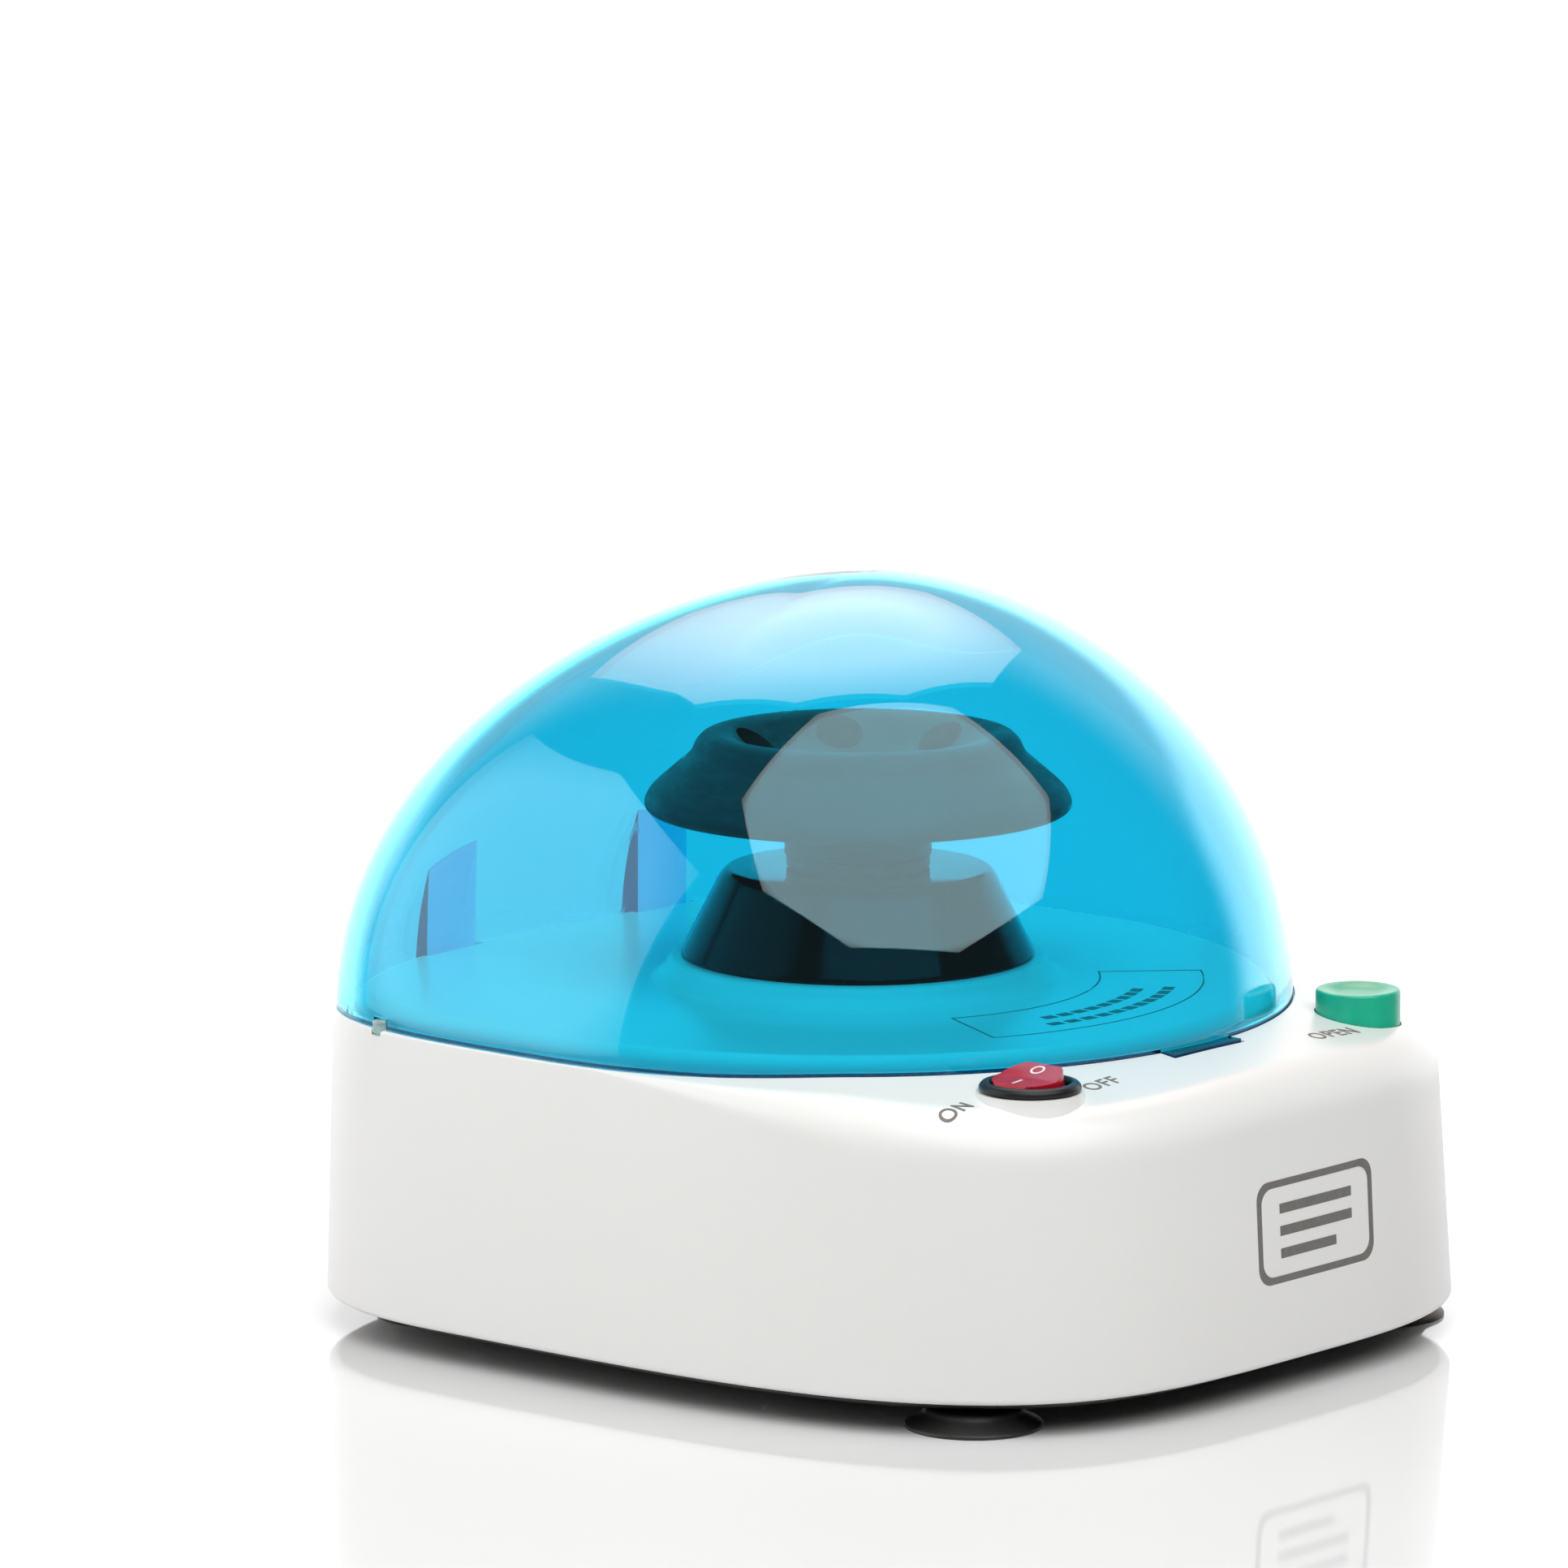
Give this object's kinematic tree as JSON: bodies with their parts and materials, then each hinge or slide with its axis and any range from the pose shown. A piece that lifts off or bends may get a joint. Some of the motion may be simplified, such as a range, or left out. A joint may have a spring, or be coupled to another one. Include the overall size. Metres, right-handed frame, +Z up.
{
  "type": "laboratory mini centrifuge",
  "caption": "Bench-top mini centrifuge: white housing, hinged tinted dome lid with push-button latch, fixed-angle tube rotor, rocker power switch and suction feet.",
  "frame": {"origin": "on the ground under the middle of the object's outer box, the plane of the suction feet's lower faces", "axes": "+Z up, -Y towards the front with the switch and the lid release, +Y towards the lid's hinge, +X to the right seen from the front"},
  "size_m": [0.211, 0.2336, 0.1712],
  "materials": {
    "white_housing": "white moulded plastic, satin gloss",
    "dark_pan": "dark moulded plastic, fine texture",
    "tinted_lid": "clear blue-tinted polycarbonate, polished",
    "clear_bumper": "clear soft silicone",
    "gloss_black": "polished black plastic",
    "matte_black": "black moulded plastic, matt, lightly scuffed",
    "black_bezel": "black nylon, satin",
    "red_rocker": "translucent red plastic, glossy",
    "green_button": "green moulded plastic, satin gloss",
    "black_rubber": "black rubber, smooth",
    "nylon": "natural nylon",
    "steel": "zinc-plated steel",
    "brass": "turned brass",
    "circuit_board": "green solder mask",
    "capacitor_sleeve": "dark blue shrink sleeve"
  },
  "bodies": {
    "housing": {"upper_housing": "white_housing", "base_pan": "dark_pan", "base_screw_1": "steel", "base_screw_2": "steel", "base_screw_3": "steel", "base_screw_4": "steel", "suction_foot_front_left": "black_rubber", "suction_foot_front_right": "black_rubber", "suction_foot_rear_left": "black_rubber", "suction_foot_rear_right": "black_rubber", "lid_bumper_left": "clear_bumper", "lid_bumper_right": "clear_bumper", "hinge_bracket_left": "steel", "hinge_bracket_right": "steel", "hinge_pin_left": "steel", "hinge_pin_right": "steel", "hinge_spring_left": "steel", "hinge_spring_right": "steel", "motor_cover": "gloss_black", "motor_can": "steel", "motor_end_cap": "matte_black", "motor_plate": "steel", "motor_screw_1": "steel", "motor_screw_2": "steel", "vibration_mount_1": "black_rubber", "vibration_mount_2": "black_rubber", "vibration_mount_3": "black_rubber", "power_switch_body": "black_bezel", "button_guide": "nylon", "button_spring": "steel", "latch_guide_1": "nylon", "latch_guide_2": "nylon", "lid_interlock_switch": "black_bezel", "control_board": "circuit_board", "board_capacitor": "capacitor_sleeve", "dc_inlet": "black_bezel", "inlet_nut": "brass"},
    "lid": {"lid_dome": "tinted_lid"},
    "spinning_rotor": {"motor_shaft": "steel", "drive_collar": "matte_black", "rotor_hub": "matte_black", "rotor": "matte_black", "rotor_nut": "matte_black"},
    "rocker": {"power_rocker": "red_rocker"},
    "button": {"open_button": "green_button"},
    "latch": {"latch_slider": "nylon"}
  },
  "joints": [
    {"name": "lid_hinge", "type": "hinge", "parent": "housing", "child": "lid", "pos_m": [0, 0.1047, 0.0595], "axis": [-1, 0, 0], "range_deg": [0, 78]},
    {"name": "rotor_spin", "type": "hinge", "parent": "housing", "child": "spinning_rotor", "pos_m": [0, 0.0122, 0.1166], "axis": [0, 0, 1], "continuous": true},
    {"name": "rocker_tilt", "type": "hinge", "parent": "housing", "child": "rocker", "pos_m": [-0.0588, -0.0862, 0.0719], "axis": [0, 1, 0], "range_deg": [0, 24]},
    {"name": "open_press", "type": "slide", "parent": "housing", "child": "button", "axis": [0, 0, -1], "range_m": [0, 0.003], "stiffness_N_per_m": 300, "springref_m": -0.002, "deforming": ["button_spring"]},
    {"name": "latch_slide", "type": "slide", "parent": "housing", "child": "latch", "axis": [0, -1, 0], "range_m": [0, 0.003]}
  ],
  "couplings": [
    {"joint": "latch_slide", "follows": "open_press", "ratio": 1}
  ]
}
